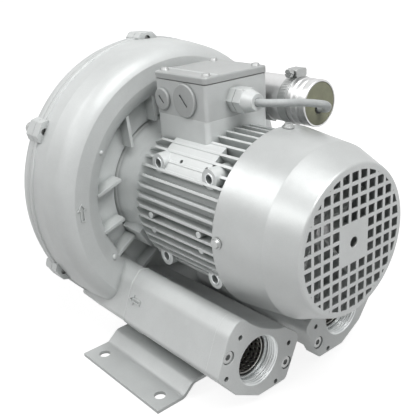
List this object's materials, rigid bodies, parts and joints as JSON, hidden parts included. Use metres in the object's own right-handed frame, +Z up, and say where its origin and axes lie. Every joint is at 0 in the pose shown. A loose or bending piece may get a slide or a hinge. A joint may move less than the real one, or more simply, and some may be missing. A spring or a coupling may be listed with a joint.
{
  "type": "side channel blower",
  "caption": "Side channel blower with finned motor, ring casing, twin threaded silencer ports, terminal box with capacitor, and a floor bracket.",
  "frame": {"origin": "centre of the four floor fixing holes, on the floor plane", "axes": "+Z up, -Y out of the two threaded ports and towards the motor's fan cowl, +X to the right as seen from the ports"},
  "size_m": [0.2568, 0.268, 0.2706],
  "materials": {
    "casing_paint": "satin silver-grey paint on cast aluminium",
    "bracket_paint": "satin silver-grey paint on bent sheet steel",
    "motor_paint": "satin silver-grey paint on cast aluminium",
    "cowl_paint": "satin silver-grey paint on pressed sheet",
    "box_paint": "satin silver-grey paint on cast aluminium",
    "zinc_steel": "zinc plated",
    "gasket_rubber": "black, matt",
    "screen_steel": "perforated sheet",
    "foam": "open cell foam",
    "core_steel": "laminated electrical steel",
    "copper_winding": "enamelled copper",
    "bearing_steel": "ground",
    "shaft_steel": "turned",
    "impeller_aluminium": "die cast",
    "fan_plastic": "moulded light grey",
    "black_plastic": "moulded",
    "brass": "plain",
    "plug_plastic": "moulded grey",
    "gland_plastic": "moulded grey",
    "capacitor_aluminium": "drawn, bright",
    "capacitor_resin": "cast resin",
    "lead_jacket": "grey PVC jacket"
  },
  "bodies": {
    "blower": {"blower_cover": "casing_paint", "blower_housing": "casing_paint", "bracket_screws": "zinc_steel", "capacitor_bracket": "zinc_steel", "capacitor_can": "capacitor_aluminium", "capacitor_clamp": "zinc_steel", "capacitor_clamp_screw": "zinc_steel", "capacitor_end_disc": "capacitor_resin", "capacitor_lead": "lead_jacket", "casing_bolts": "zinc_steel", "casing_gasket": "gasket_rubber", "cowl_screws": "zinc_steel", "drive_bearing": "bearing_steel", "end_shield_screws": "zinc_steel", "fan_cowl": "cowl_paint", "foot_bracket": "bracket_paint", "foot_screws": "zinc_steel", "gland_body": "gland_plastic", "gland_locknut": "gland_plastic", "gland_nut": "gland_plastic", "gland_seal": "gasket_rubber", "large_blanking_plug": "plug_plastic", "lead_grommet": "gasket_rubber", "left_port_flange": "casing_paint", "left_port_gasket": "gasket_rubber", "left_silencer_foam": "foam", "left_silencer_screen": "screen_steel", "left_silencer_tube": "casing_paint", "lid_screws": "zinc_steel", "motor_flange_screws": "zinc_steel", "port_flange_screws": "zinc_steel", "rear_bearing": "bearing_steel", "rear_end_shield": "motor_paint", "right_port_flange": "casing_paint", "right_port_gasket": "gasket_rubber", "right_silencer_foam": "foam", "right_silencer_screen": "screen_steel", "right_silencer_tube": "casing_paint", "shaft_seal": "gasket_rubber", "small_blanking_plug": "plug_plastic", "stator_core": "core_steel", "stator_housing": "motor_paint", "stator_windings": "copper_winding", "terminal_block": "black_plastic", "terminal_box": "box_paint", "terminal_box_gasket": "gasket_rubber", "terminal_box_lid": "box_paint", "terminal_studs": "brass"},
    "rotor": {"shaft": "shaft_steel", "rotor_core": "core_steel", "impeller": "impeller_aluminium", "impeller_key": "shaft_steel", "impeller_nut": "shaft_steel", "cooling_fan": "fan_plastic"}
  },
  "joints": [
    {"name": "rotor_spin", "type": "hinge", "parent": "blower", "child": "rotor", "pos_m": [0, 0, 0.138], "axis": [0, 1, 0], "continuous": true}
  ]
}
